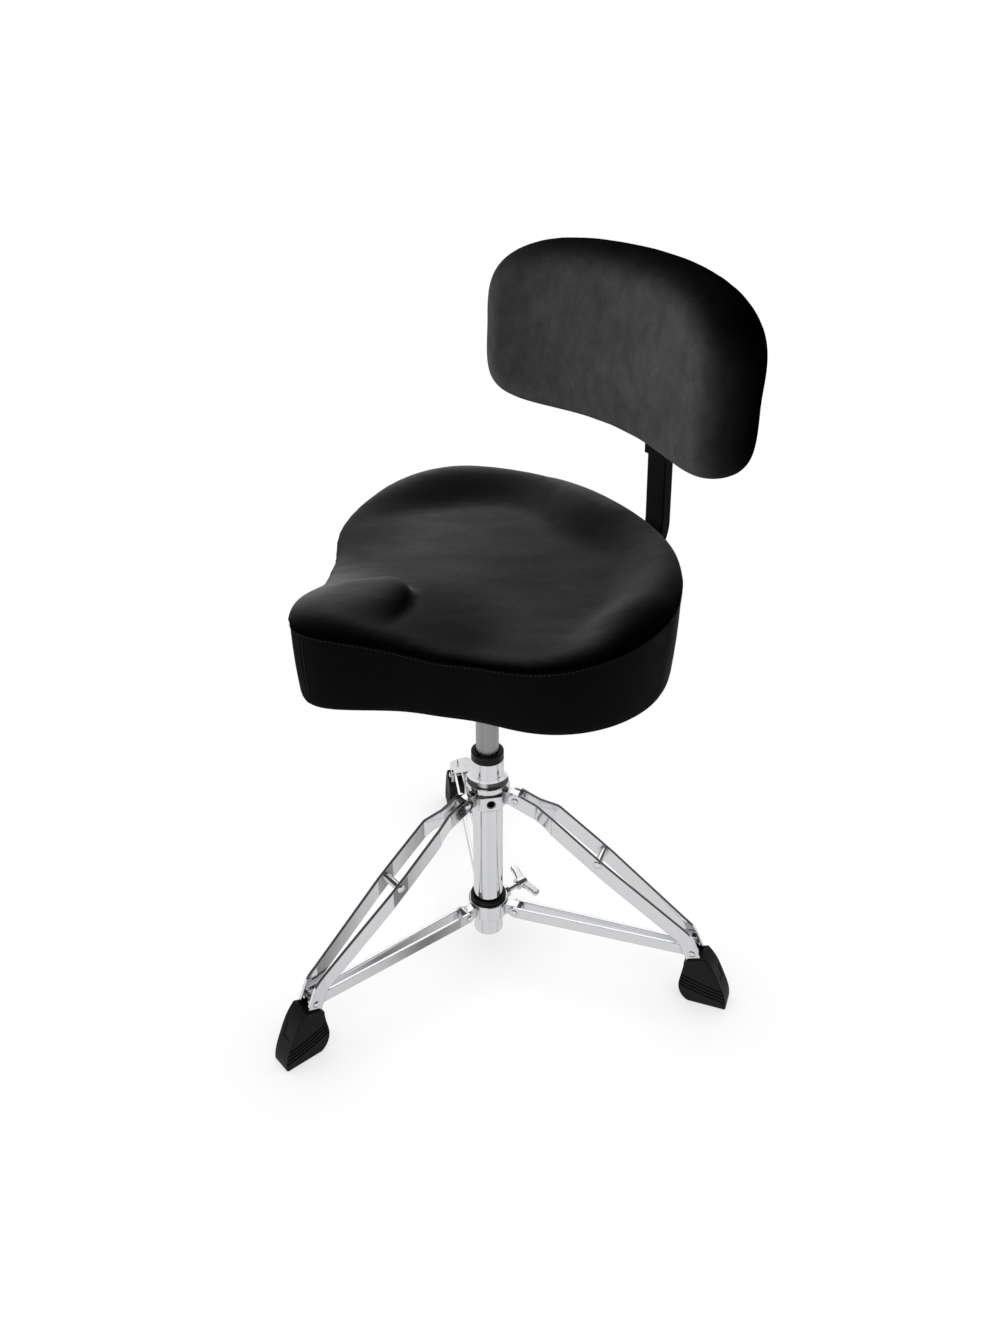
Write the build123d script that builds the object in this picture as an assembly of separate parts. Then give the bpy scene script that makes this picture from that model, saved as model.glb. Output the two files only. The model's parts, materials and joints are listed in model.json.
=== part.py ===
"""Drum throne with a saddle seat, a backrest, a gas lift and a folding three-leg base.

Millimetres, +Z up. The sitter faces -Y and the floor is z = 0. The origin is the middle of the
object's footprint on the floor. Every sub-part is made about the column's axis and moved there at
the end. Legs and braces are made along +X and turned to their place round the column.
"""
from build123d import *
from math import atan2, cos, degrees, radians, sin, tan
import os

os.makedirs("parts", exist_ok=True)

# Where the column's axis stands in the footprint
COLUMN_X = 11.1
COLUMN_Y = 18.1

# Column
TUBE_OD = 38.1
TUBE_ID = 33.1
TUBE_BOTTOM = 29.0
TUBE_TOP = 305.0
BUSHING_TOP = 316.0
BUSHING_DEPTH = 60.0
FLANGE_OD = 52.7
FLANGE_Z = 264.0
HUB_OD = 47.0
HUB_BOTTOM = 238.7
SET_SCREW_D = 10.0
SET_SCREW_Z = 250.5

# Legs: radius from the column's axis, and height
LEG_ANGLES = {"front": 274.25, "left": 34.25, "right": 154.25}
UPPER_PIVOT = (38.8, 253.0)
LOWER_PIVOT = (39.3, 70.2)
FOOT_PIVOT = (273.7, 78.0)
SPACER = (148.6, 190.0)
STRAP_WIDTH = 19.0
STRAP_THICKNESS = 4.0
BRACE_WIDTH = 15.0
BRACE_THICKNESS = 3.5
UPPER_HALF = 9.15
SPACER_HALF = 17.2
FOOT_HALF = 11.5
BRACE_INNER_HALF = 9.9
BRACE_OUTER_HALF = 7.3
PIN_D = 6.0
SPACER_OD = 10.0
SPACER_RIVET_D = 5.0
RUNNING_GAP = 0.06
SIDE_GAP = 0.15
FOOT_WIDTH = 29.0
FOOT_ROUND = 1.8
GROOVE_LEVELS = (13.0, 18.5, 24.0, 29.5)
GROOVE_WIDTH = 2.4
GROOVE_DEPTH = 1.5
RECESS_DEPTH = 1.0

# Lower collar
LOWER_OD = 51.8
LOWER_BOTTOM = 57.2
LOWER_TOP = 81.0
NYLON_OD = 46.3
LOWER_BORE = 42.0
NYLON_TOP = 87.4
WING_ANGLE = 94.25
WING_SHANK_D = 8.0

# Gas lift
CYLINDER_OD = 28.0
CYLINDER_ID = 24.0
CYLINDER_BOTTOM = 100.0
CYLINDER_TOP = 446.0
ROD_D = 10.0
PISTON_Z = 228.0
PISTON_LENGTH = 12.0
VALVE_D = 8.0
BUTTON_TOP = 450.5

# Thrust bearing and clip at the column's foot
CLIP_LOW = 31.0
CLIP_TOP = 32.0
BASE_PLATE_LOW = 33.0
BASE_PLATE_TOP = 38.0
WASHER_OD = 26.0
WASHER_T = 1.5
BALL_COUNT = 10
BALL_RADIUS = 2.0
BALL_CIRCLE = 9.2
BALL_Z = 41.55
UPPER_WASHER_Z = 43.55

# Seat mechanism and lever
PLATE_Z = 464.5
LEVER_X = -44.0
LEVER_Z = 453.6
LEVER_ROD_D = 6.0
LEVER_PIN_D = 5.0
HANDLE_X = -172.0
HANDLE_Z = 438.0
BOLT_PLACE = 62.0
BOLT_D = 8.0
TEE_BARREL_OD = 10.0
TEE_FLANGE_OD = 20.0
TEE_FLANGE_T = 1.2

# Seat: outline radii by angle from the nose, about a point ahead of the column
BOARD_Z = 468.0
BOARD_T = 12.0
SEAT_AHEAD = 16.0
SEAT_RADII = {
    0: 222,
    14: 194,
    28: 168,
    42: 164,
    56: 171,
    72: 201,
    90: 227,
    110: 236,
    130: 227,
    150: 213,
    180: 194,
}
BOARD_INSET = 24.0
BAND_T = 2.0
BAND_LEAN = 8.0
BLOCK_TOP = 620.0
TOP_ABOVE_SEAM = 21.0
SEAM_CUT_LOW = 400.0

# Side view of the seam between top and side cover, as y and z, from nose to rear
SEAM_POINTS = (
    (-260, 577),
    (-205, 556),
    (-150, 545),
    (-114, 543.5),
    (-52, 553),
    (65, 571),
    (161, 579),
    (210, 588),
)

# Backrest
BAR_WIDTH = 32.0
BAR_T = 12.7
BAR_Y = 256.35
BAR_LEAN = 2.0
BAR_SLOPE = 27.0
BAR_BEND_Z = 540.0
BAR_TOP_Z = 735.0
BAR_LOW_Z = 452.0
BAR_FRONT_Y = 85.0
BAR_RADIUS = 60.0
GUIDE_WALL = 3.5
GUIDE_FRONT_Y = 78.0
GUIDE_LENGTH = 76.0
GUIDE_SCREW_D = 5.0
GUIDE_SCREW_X = 36.0
GUIDE_SCREW_Y = (98.0, 134.0)
KNOB_Y = 120.0
KNOB_SHANK_D = 8.0
KNOB_BOSS_D = 16.0
SLEEVE_Z = 665.0
SLEEVE_WALL = 2.4
SLIDE_GAP = 0.25
HEIGHT_KNOB_UP = 10.0
HEIGHT_KNOB_BASE = 18.5
PAD_W = 418.4
PAD_H = 199.0
PAD_T = 75.6
PAD_RADIUS = 447.8
PAD_CROWN = 18.1
PAD_LOCAL_Y = -46.7
PAD_LOCAL_Z = 116.4
PAD_TILT = 3.7
PLATE_BACK = 37.0
PLATE_T = 2.2
PLATE_WIDTH = 104.0
PLATE_HEIGHT = 124.0
PAD_SCREW_D = 5.0
PAD_SCREW_X = 38.0
PAD_SCREW_Z = 42.0
BOARD_RADIUS = 476.1
PAD_BOARD_T = 9.0


def tube(outer, inner, low, high):
    """Upright ring between two heights."""
    ring = Circle(outer / 2) - Circle(inner / 2)
    return Pos(0, 0, low) * extrude(ring, high - low)


def rod(diameter, low, high):
    """Upright cylinder between two heights."""
    return Pos(0, 0, low) * extrude(Circle(diameter / 2), high - low)


def box(x_size, y_size, low, high):
    """Upright block centred on the axis, between two heights."""
    return Pos(0, 0, low) * extrude(Rectangle(x_size, y_size), high - low)


def across(shape, radius, height):
    """Turn an upright shape to lie across a leg, centred on a pivot."""
    return Pos(radius, 0, height) * Rot(-90, 0, 0) * shape


def outward(shape, height):
    """Turn an upright shape to point along +X at a height."""
    return Pos(0, 0, height) * Rot(0, 90, 0) * shape


def domed_head(diameter, height):
    """Low rivet dome standing on z = 0."""
    rise = height - 0.6
    radius = (diameter * diameter / 4 + rise * rise) / (2 * rise)
    return rod(diameter, 0, height) & Pos(0, 0, height - radius) * Sphere(radius)


def rivet(shank, reach, head, dome):
    """Rivet along Z, its heads resting at plus and minus reach."""
    body = rod(shank, -reach, reach)
    top = Pos(0, 0, reach) * domed_head(head, dome)
    return body + top + mirror(top, Plane.XY)


def half_rivet(shank, inner, outer, head, dome):
    """Short rivet that ends at the strap's inner face."""
    return rod(shank, inner, outer) + Pos(0, 0, outer) * domed_head(head, dome)


def side_slab(profile, depth):
    """Profile drawn in radius and height, made depth thick across the leg."""
    return extrude(Plane.XZ * profile, depth / 2, both=True)


def mirrored_points(points):
    """Add the same points on the other side of the x axis, in reverse."""
    return points + [(x, -y) for x, y in reversed(points[1:-1])]


# ---------------------------------------------------------------- column


def column_tube():
    return tube(TUBE_OD, TUBE_ID, TUBE_BOTTOM, TUBE_TOP)


def base_plate():
    return tube(TUBE_ID, ROD_D + 2 * RUNNING_GAP, BASE_PLATE_LOW, BASE_PLATE_TOP)


def tube_ferrule():
    """Sleeve round the tube's mouth, flaring down to a flange."""
    wall = TUBE_OD / 2
    top = 20.2
    flange = FLANGE_OD / 2
    outline = make_face(
        [
            Line((wall, FLANGE_Z), (flange - 1, FLANGE_Z)),
            Line((flange - 1, FLANGE_Z), (flange, FLANGE_Z + 1)),
            Line((flange, FLANGE_Z + 1), (flange, 272)),
            Line((flange, 272), (flange - 1, 273)),
            ThreePointArc((flange - 1, 273), (21.9, 276.4), (top, 284)),
            Line((top, 284), (top, TUBE_TOP)),
            Line((top, TUBE_TOP), (wall, TUBE_TOP)),
            Line((wall, TUBE_TOP), (wall, FLANGE_Z)),
        ]
    )
    return revolve(Plane.XZ * outline, Axis.Z)


def lug(pivot, half_width, radius, low):
    """Upright tongue along +X with a round nose at its pivot."""
    nose = Pos(*pivot) * Circle(radius)
    top = pivot[1] + radius
    neck = Pos(pivot[0] / 2 + 9, (top + low) / 2) * Rectangle(pivot[0] - 18, top - low)
    tongue = side_slab(nose + neck, 2 * half_width)
    return tongue - across(rod(PIN_D, -2 * half_width, 2 * half_width), *pivot)


def top_collar():
    """Ring with three leg lugs and a flat boss between each two of them."""
    body = rod(HUB_OD, HUB_BOTTOM, FLANGE_Z)
    for angle in LEG_ANGLES.values():
        tongue = lug(UPPER_PIVOT, UPPER_HALF - STRAP_THICKNESS - SIDE_GAP, 8.0, 243.0)
        boss = Pos(14, 0, 0) * box(24, 28, 241, 261)
        body += Rot(0, 0, angle) * tongue
        body += Rot(0, 0, angle + 60) * fillet(boss.edges().filter_by(Axis.Z), 3)
    body -= rod(TUBE_OD, HUB_BOTTOM - 1, FLANGE_Z + 1)
    hole = outward(rod(SET_SCREW_D, 10, 40), SET_SCREW_Z)
    mouth = outward(rod(SET_SCREW_D + 1.6, 25, 40), SET_SCREW_Z)
    return body - Rot(0, 0, LEG_ANGLES["front"] + 60) * (hole + mouth)


def collar_set_screw():
    screw = rod(SET_SCREW_D, TUBE_OD / 2, 23.5)
    socket = Pos(0, 0, 19.5) * extrude(RegularPolygon(2.9, 6), 6)
    return Rot(0, 0, LEG_ANGLES["front"] + 60) * outward(screw - socket, SET_SCREW_Z)


def top_bushing():
    """Flanged nylon guide for the gas cylinder."""
    bore = CYLINDER_OD + 2 * RUNNING_GAP
    flange = tube(40.0, bore, TUBE_TOP, BUSHING_TOP)
    flange = chamfer(flange.edges().group_by(Axis.Z)[-1], 0.9)
    return flange + tube(TUBE_ID, bore, TUBE_TOP - BUSHING_DEPTH, TUBE_TOP)


def upper_pin_cores():
    half = UPPER_HALF - STRAP_THICKNESS - SIDE_GAP
    core = across(rod(PIN_D, -half, half), *UPPER_PIVOT)
    return [Rot(0, 0, angle) * core for angle in LEG_ANGLES.values()]


def bearing_lower_washer():
    return tube(WASHER_OD, ROD_D + 2 * RUNNING_GAP, BASE_PLATE_TOP, BASE_PLATE_TOP + WASHER_T)


# ---------------------------------------------------------------- gas lift


def piston_rod():
    shaft = rod(ROD_D, CLIP_LOW - 1.5, PISTON_Z + PISTON_LENGTH)
    groove = tube(ROD_D + 2, ROD_D - 2, CLIP_LOW, CLIP_TOP)
    return shaft - groove


def retaining_clip():
    ring = tube(18.0, ROD_D - 2, CLIP_LOW, CLIP_TOP)
    slot = Pos(8, 0, 0) * box(12, 5, CLIP_LOW - 1, CLIP_TOP + 1)
    return ring - slot


def bearing_balls():
    """Ball cage with the balls in its pockets."""
    cage = tube(25.0, 12.0, 40.5, 42.5)
    for index in range(BALL_COUNT):
        ball = Rot(0, 0, 360 / BALL_COUNT * index) * Pos(BALL_CIRCLE, 0, BALL_Z) * Sphere(BALL_RADIUS)
        cage += ball
    return cage


def bearing_upper_washer():
    return tube(WASHER_OD, ROD_D, UPPER_WASHER_Z, UPPER_WASHER_Z + WASHER_T)


def gas_piston():
    return tube(CYLINDER_ID - 2 * RUNNING_GAP, ROD_D, PISTON_Z, PISTON_Z + PISTON_LENGTH)


def gas_cylinder():
    """Pressure tube, closed round the rod below and round the valve button above."""
    body = rod(CYLINDER_OD, CYLINDER_BOTTOM, CYLINDER_TOP)
    body = chamfer(body.edges().group_by(Axis.Z)[-1], 1.5)
    body -= rod(CYLINDER_ID, CYLINDER_BOTTOM + 14, CYLINDER_TOP - 12)
    body -= rod(ROD_D + 2 * RUNNING_GAP, CYLINDER_BOTTOM - 1, CYLINDER_BOTTOM + 20)
    return body - rod(VALVE_D + 2 * RUNNING_GAP, CYLINDER_TOP - 20, CYLINDER_TOP + 1)


def valve_button():
    return fillet(rod(VALVE_D, CYLINDER_TOP - 8, BUTTON_TOP).edges().group_by(Axis.Z)[-1], 3.5)


# ---------------------------------------------------------------- seat


def saddle(inset):
    """Seat outline seen from above, nose towards -Y, drawn in from the edge by inset."""
    half = []
    for angle, radius in SEAT_RADII.items():
        reach = radius - inset
        half.append((-reach * cos(radians(angle)), reach * sin(radians(angle))))
    points = [(x, y - SEAT_AHEAD) for y, x in mirrored_points(half)]
    return make_face(Spline(*points, periodic=True))


def seat_block(inset):
    """Block inside the seat's leaning side wall, up to well above the crown."""
    low = Pos(0, 0, BOARD_Z) * saddle(inset + BAND_LEAN)
    high = Pos(0, 0, BLOCK_TOP) * saddle(inset)
    return loft([low, high])


def below_seam(raise_by):
    """Everything under the seam's side view, which dips at the thighs and climbs to the rear."""
    nose, rear = SEAM_POINTS[0], SEAM_POINTS[-1]
    rear_low = (rear[0], SEAM_CUT_LOW)
    nose_low = (nose[0], SEAM_CUT_LOW)
    edges = [Spline(*SEAM_POINTS), Line(rear, rear_low), Line(rear_low, nose_low), Line(nose_low, nose)]
    return Pos(0, 0, raise_by) * extrude(Plane.YZ * make_face(edges), 300, both=True)


def seat_cushion():
    """Foam and top cover, resting on the board and inside the side band."""
    body = seat_block(BAND_T + 0.2) & below_seam(TOP_ABOVE_SEAM)
    hollow = Pos(0, 0, BOARD_Z - 1) * extrude(saddle(BOARD_INSET), BOARD_T + 1)
    return body - hollow


def seat_side_band():
    """Sewn side cover: a thin leaning wall round the foam, up to the seam."""
    return (seat_block(0) - seat_block(BAND_T)) & below_seam(0)


def bolt_places():
    """The four bolts that hold the mechanism under the board."""
    return [(x, y) for x in (-BOLT_PLACE, BOLT_PLACE) for y in (-BOLT_PLACE, BOLT_PLACE)]


def under_seat(shape, x):
    """Turn an upright shape to lie along Y at the lever's height."""
    return Pos(x, 0, LEVER_Z) * Rot(90, 0, 0) * shape


def seat_mechanism():
    """Pressed plate with the socket that grips the gas cylinder and two ears for the lever."""
    plate = fillet(box(150, 150, PLATE_Z, BOARD_Z).edges().filter_by(Axis.Z), 18)
    body = plate + rod(50.0, 420, PLATE_Z)
    body -= rod(CYLINDER_OD, 419, PLATE_Z)
    body -= Pos(-19, 0, 0) * box(14, 10, CYLINDER_TOP + 0.6, PLATE_Z - 1.5)
    for side in (-1, 1):
        body += Pos(LEVER_X, side * 10.5, 0) * box(16, 3, 446, PLATE_Z)
    body -= under_seat(rod(LEVER_PIN_D, -14, 14), LEVER_X)
    for x, y in bolt_places():
        body -= Pos(x, y, 0) * rod(BOLT_D + 0.5, PLATE_Z - 1, BOARD_Z + 1)
    return body


def lever_pin():
    return under_seat(rivet(LEVER_PIN_D, 12.1, 8.0, 1.6), LEVER_X)


def release_lever():
    """Bent rod: its inner end lies over the valve button, its hub turns on the pin."""
    bend_x = LEVER_X - 16
    corners = [(5, LEVER_Z), (bend_x, LEVER_Z), (-112, HANDLE_Z), (HANDLE_X, HANDLE_Z)]
    path = FilletPolyline(*corners, radius=14)
    start = Plane(origin=(5, 0, LEVER_Z), x_dir=(0, 1, 0), z_dir=(-1, 0, 0))
    bent = sweep(start * Circle(LEVER_ROD_D / 2), Plane.XZ * path)
    hub = under_seat(rod(9.0, -8.5, 8.5), LEVER_X)
    return bent + hub - under_seat(rod(LEVER_PIN_D + 2 * RUNNING_GAP, -20, 20), LEVER_X)


def lever_handle():
    """Moulded paddle on the end of the lever."""
    paddle = Pos(HANDLE_X - 11, 0, 0) * box(58, 20, HANDLE_Z - 4, HANDLE_Z + 4)
    paddle = fillet(paddle.edges().filter_by(Axis.Z), 8)
    paddle = fillet(paddle.edges().group_by(Axis.Z)[-1] + paddle.edges().group_by(Axis.Z)[0], 2.5)
    return paddle - Pos(HANDLE_X, 0, HANDLE_Z) * Rot(0, 90, 0) * rod(LEVER_ROD_D, 0, 40)


def mechanism_bolts():
    """Pan-head bolts up through the plate into the tee nuts."""
    shank = rod(BOLT_D, PLATE_Z, BOARD_Z + BOARD_T - 1.5)
    head = fillet(rod(15.0, PLATE_Z - 5, PLATE_Z).edges().group_by(Axis.Z)[0], 3)
    drive = rod(5.0, PLATE_Z - 5.5, PLATE_Z - 2)
    return [Pos(x, y, 0) * (shank + head - drive) for x, y in bolt_places()]


def tee_nuts():
    board_top = BOARD_Z + BOARD_T
    barrel = tube(TEE_BARREL_OD, BOLT_D, BOARD_Z + 1.0, board_top - TEE_FLANGE_T)
    flange = tube(TEE_FLANGE_OD, BOLT_D, board_top - TEE_FLANGE_T, board_top)
    return [Pos(x, y, 0) * (barrel + flange) for x, y in bolt_places()]


def bar_sleeve(wall):
    """Section of a sleeve that slides on the bar."""
    inner = Rectangle(BAR_WIDTH + 2 * SLIDE_GAP, BAR_T + 2 * SLIDE_GAP)
    return Rectangle(BAR_WIDTH + 2 * wall, BAR_T + 2 * wall) - inner


def backrest_guide():
    """Square channel under the board, with side flanges and a boss for the depth knob."""
    outer_width = BAR_WIDTH + 2 * GUIDE_WALL
    middle_y = GUIDE_FRONT_Y + GUIDE_LENGTH / 2
    channel = bar_sleeve(GUIDE_WALL)
    body = Pos(0, GUIDE_FRONT_Y, BAR_LOW_Z) * Rot(-90, 0, 0) * extrude(channel, GUIDE_LENGTH)
    body += Pos(0, middle_y, 0) * box(92, 60, PLATE_Z, BOARD_Z)
    body += Pos(0, middle_y, 0) * box(outer_width, GUIDE_LENGTH, PLATE_Z - 1, PLATE_Z)
    low = BAR_LOW_Z - BAR_T / 2 - GUIDE_WALL
    body += Pos(0, KNOB_Y, 0) * rod(KNOB_BOSS_D, low - 5, low)
    for x, y in guide_screw_places():
        body -= Pos(x, y, 0) * rod(GUIDE_SCREW_D, PLATE_Z - 1, BOARD_Z + 1)
    return body - Pos(0, KNOB_Y, 0) * rod(KNOB_SHANK_D + 2 * RUNNING_GAP, low - 6, BAR_LOW_Z)


def guide_screw_places():
    return [(x, y) for x in (-GUIDE_SCREW_X, GUIDE_SCREW_X) for y in GUIDE_SCREW_Y]


def seat_board():
    """Plywood board with a hole for each tee nut and screw."""
    board = extrude(Pos(0, 0, BOARD_Z) * saddle(BOARD_INSET), BOARD_T)
    for x, y in bolt_places():
        board -= Pos(x, y, 0) * rod(TEE_BARREL_OD, BOARD_Z - 1, BOARD_Z + BOARD_T + 1)
        board -= Pos(x, y, 0) * rod(TEE_FLANGE_OD, BOARD_Z + BOARD_T - TEE_FLANGE_T, BOARD_Z + BOARD_T + 1)
    for x, y in guide_screw_places():
        board -= Pos(x, y, 0) * rod(GUIDE_SCREW_D, BOARD_Z - 1, BOARD_Z + 9)
    return board


def guide_screws():
    screw = rod(GUIDE_SCREW_D, PLATE_Z, BOARD_Z + 9)
    head = fillet(rod(10.0, PLATE_Z - 3, PLATE_Z).edges().group_by(Axis.Z)[0], 2)
    return [Pos(x, y, 0) * (screw + head) for x, y in guide_screw_places()]


def knob(outer, thickness, shank_from, shank_to):
    """Lobed hand knob on a threaded shank, pointing along +Z from z = 0."""
    head = fillet(extrude(Circle(outer / 2), thickness).edges(), 3)
    for index in range(5):
        head -= Rot(0, 0, 72 * index) * Pos(outer / 2 + 4.5, 0, -1) * extrude(Circle(8), thickness + 2)
    collar = extrude(Circle(8), -4)
    return head + collar + rod(KNOB_SHANK_D, shank_from, shank_to)


def depth_knob():
    low = BAR_LOW_Z - BAR_T / 2
    base = low - GUIDE_WALL - 5 - 4.5
    return Pos(0, KNOB_Y, base) * Rot(180, 0, 0) * knob(36.0, 15, -(low - base - 0.1), 2)


# ---------------------------------------------------------------- backrest


def bar_path():
    """Side view of the bar's centre line, as y and z, from under the seat to the top."""
    rise = BAR_TOP_Z - BAR_BEND_Z
    top = (BAR_Y - rise * tan(radians(BAR_LEAN)), BAR_TOP_Z)
    bend = (BAR_Y, BAR_BEND_Z)
    low = (BAR_Y - (BAR_BEND_Z - BAR_LOW_Z) * tan(radians(BAR_SLOPE)), BAR_LOW_Z)
    return FilletPolyline((BAR_FRONT_Y, BAR_LOW_Z), low, bend, top, radius=BAR_RADIUS)


def backrest_bar():
    section = RectangleRounded(BAR_WIDTH, BAR_T, 2.0)
    start = Plane(origin=(0, BAR_FRONT_Y, BAR_LOW_Z), x_dir=(1, 0, 0), z_dir=(0, 1, 0))
    return sweep(start * section, Plane.YZ * bar_path())


def bar_end_caps():
    """Plastic caps on the bar's two ends."""
    cap = extrude(RectangleRounded(BAR_WIDTH - 0.6, BAR_T - 0.6, 2.0), 3.0)
    cap = fillet(cap.edges().group_by(Axis.Z)[-1], 1.2)
    top_y = BAR_Y - (BAR_TOP_Z - BAR_BEND_Z) * tan(radians(BAR_LEAN))
    top = Pos(0, top_y, BAR_TOP_Z) * Rot(BAR_LEAN, 0, 0) * cap
    return [top, Pos(0, BAR_FRONT_Y, BAR_LOW_Z) * Rot(90, 0, 0) * cap]


def on_bar(shape):
    """Place a shape made round the upright bar's axis at the bracket's height."""
    y = BAR_Y - (SLEEVE_Z - BAR_BEND_Z) * tan(radians(BAR_LEAN))
    return Pos(0, y, SLEEVE_Z) * Rot(BAR_LEAN, 0, 0) * shape


def in_pad(shape):
    """Place a shape made about the pad's middle, tilted back from the bar's lean."""
    return Pos(0, PAD_LOCAL_Y, PAD_LOCAL_Z) * Rot(-PAD_TILT, 0, 0) * shape


def along_depth(shape, x, z):
    """Turn an upright shape to point to the pad's back at one place on it."""
    return Pos(x, 0, z) * Rot(-90, 0, 0) * shape


def plate_screw_places():
    return [(x, z) for x in (-PAD_SCREW_X, PAD_SCREW_X) for z in (-PAD_SCREW_Z, PAD_SCREW_Z)]


def screw_holes():
    holes = [along_depth(rod(PAD_SCREW_D, 18, PLATE_BACK + 1), x, z) for x, z in plate_screw_places()]
    return holes[0] + holes[1] + holes[2] + holes[3]


def plate_sheet(back, thickness):
    sheet = extrude(RectangleRounded(PLATE_WIDTH, PLATE_HEIGHT, 12), thickness)
    return Pos(0, back, 0) * Rot(90, 0, 0) * sheet


def pad_plate():
    return plate_sheet(PLATE_BACK, PLATE_T)


def plate_pocket():
    """Room for the plate, open to the cushion's back."""
    open_back = PAD_T / 2 + 1.5
    return plate_sheet(open_back, open_back - PLATE_BACK + PLATE_T)


def backrest_bracket():
    """Sleeve round the bar with a plate for the pad and a boss for the height knob."""
    body = Pos(0, 0, -29) * extrude(bar_sleeve(SLEEVE_WALL), 90)
    body += Pos(0, -11.0, 0) * box(30, 5.0, 53, 61)
    body += in_pad(pad_plate() - screw_holes())
    body += Rot(-90, 0, 0) * Pos(0, HEIGHT_KNOB_UP, 0) * rod(KNOB_BOSS_D, 8, 14)
    return body - Rot(-90, 0, 0) * Pos(0, HEIGHT_KNOB_UP, 0) * rod(KNOB_SHANK_D + 2 * RUNNING_GAP, 0, 20)


def height_knob():
    shank_end = BAR_T / 2 + 0.1
    head = knob(38.0, 16, shank_end - HEIGHT_KNOB_BASE, 2)
    return Rot(-90, 0, 0) * Pos(0, HEIGHT_KNOB_UP, HEIGHT_KNOB_BASE) * head


def pad_slab(radius, thickness, width, height, corner):
    """Bowed slab with arched top and bottom edges, hollow towards the sitter."""
    half_w = width / 2
    half_h = height / 2
    drop = PAD_CROWN * (width / PAD_W) ** 2
    edge = half_h - drop
    outline = make_face(
        [
            ThreePointArc((-half_w, edge), (0, half_h), (half_w, edge)),
            Line((half_w, edge), (half_w, -half_h - drop)),
            ThreePointArc((half_w, -half_h - drop), (0, -half_h), (-half_w, -half_h - drop)),
            Line((-half_w, -half_h - drop), (-half_w, edge)),
        ]
    )
    outline = fillet(outline.vertices(), corner)
    front = Rot(90, 0, 0) * extrude(outline, 130, both=True)
    ring = Circle(radius + thickness / 2) - Circle(radius - thickness / 2)
    bow = Pos(0, -PAD_RADIUS, -150) * extrude(ring, 300)
    return front & bow


def pad_board_blank():
    return pad_slab(BOARD_RADIUS, PAD_BOARD_T, 330.0, 140.0, 30.0)


def pad_board():
    """Bent plywood inside the pad."""
    return in_pad(pad_board_blank() - screw_holes())


def pad_cushion():
    body = pad_slab(PAD_RADIUS, PAD_T, PAD_W, PAD_H, 60.0)
    rim = body.edges().filter_by(lambda edge: edge.length > 60)
    body = fillet(rim, 20)
    return in_pad(body - pad_board_blank() - screw_holes() - plate_pocket())


def pad_screws():
    """Screws through the plate into the board, heads towards the bar."""
    head = fillet(rod(10.0, PLATE_BACK, PLATE_BACK + 2.6).edges().group_by(Axis.Z)[-1], 1.8)
    screw = rod(PAD_SCREW_D, 21, PLATE_BACK) + head
    return [on_bar(in_pad(along_depth(screw, x, z))) for x, z in plate_screw_places()]


# ---------------------------------------------------------------- base


def lower_collar():
    """Sliding collar with a lug for each pair of braces and a boss for the wing bolt."""
    body = rod(LOWER_OD, LOWER_BOTTOM, LOWER_TOP)
    body = fillet(body.edges(), 1.5)
    half = BRACE_INNER_HALF - BRACE_THICKNESS - SIDE_GAP
    for angle in LEG_ANGLES.values():
        body += Rot(0, 0, angle) * lug(LOWER_PIVOT, half, 7.5, 62.7)
    body += Rot(0, 0, WING_ANGLE) * outward(rod(17.0, 22, 32), LOWER_PIVOT[1])
    body -= rod(LOWER_BORE, LOWER_BOTTOM - 1, LOWER_TOP + 1)
    thread = outward(rod(WING_SHANK_D + 2 * RUNNING_GAP, 10, 40), LOWER_PIVOT[1])
    return body - Rot(0, 0, WING_ANGLE) * thread


def collar_bushing():
    """Nylon sleeve between collar and tube, with a rim on top."""
    bore = TUBE_OD + 2 * RUNNING_GAP
    rim = chamfer(tube(NYLON_OD, bore, LOWER_TOP, NYLON_TOP).edges().group_by(Axis.Z)[-1], 1.2)
    body = rim + tube(LOWER_BORE, bore, LOWER_BOTTOM, LOWER_TOP)
    return body - Rot(0, 0, WING_ANGLE) * outward(rod(WING_SHANK_D + 0.2, 10, 22), LOWER_PIVOT[1])


def lower_pivot_pins():
    pin = across(rivet(PIN_D, BRACE_INNER_HALF + 0.1, 8.5, 1.9), *LOWER_PIVOT)
    return [Rot(0, 0, angle) * pin for angle in LEG_ANGLES.values()]


def wing_bolt():
    """Cast two-wing head on a threaded shank that bears on the tube."""
    shank = rod(WING_SHANK_D, TUBE_OD / 2 + 0.1, 52)
    hub = Pos(0, 0, 50) * extrude(Circle(7.5), 14, taper=7)
    wing = make_face(
        [
            Spline((0, 52), (11, 56), (24, 58.5), tangents=[(1, 0.1), (1, 0)]),
            ThreePointArc((24, 58.5), (27.5, 63.5), (24, 68.5)),
            Spline((24, 68.5), (12, 67), (0, 65.5), tangents=[(-1, 0), (-1, -0.1)]),
            Line((0, 65.5), (0, 52)),
        ]
    )
    slab = extrude(Plane.XZ * wing, 3.2, both=True)
    slab = fillet(slab.edges().filter_by(lambda edge: edge.length > 12 and edge.center().X > 2), 1.6)
    head = hub + slab + mirror(slab, Plane.YZ)
    bolt = Rot(0, 90, 0) * Rot(0, 0, 104) * (shank + head)
    return Rot(0, 0, WING_ANGLE) * Pos(0, 0, LOWER_PIVOT[1]) * bolt


def leg_outline():
    """Side view of a leg strap, as radius and height."""
    line = FilletPolyline(UPPER_PIVOT, (84, 234.5), (264, 97.7), (280, 61.5), radius=26)
    return trace(line, STRAP_WIDTH) + Pos(*UPPER_PIVOT) * Circle(STRAP_WIDTH / 2)


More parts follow.
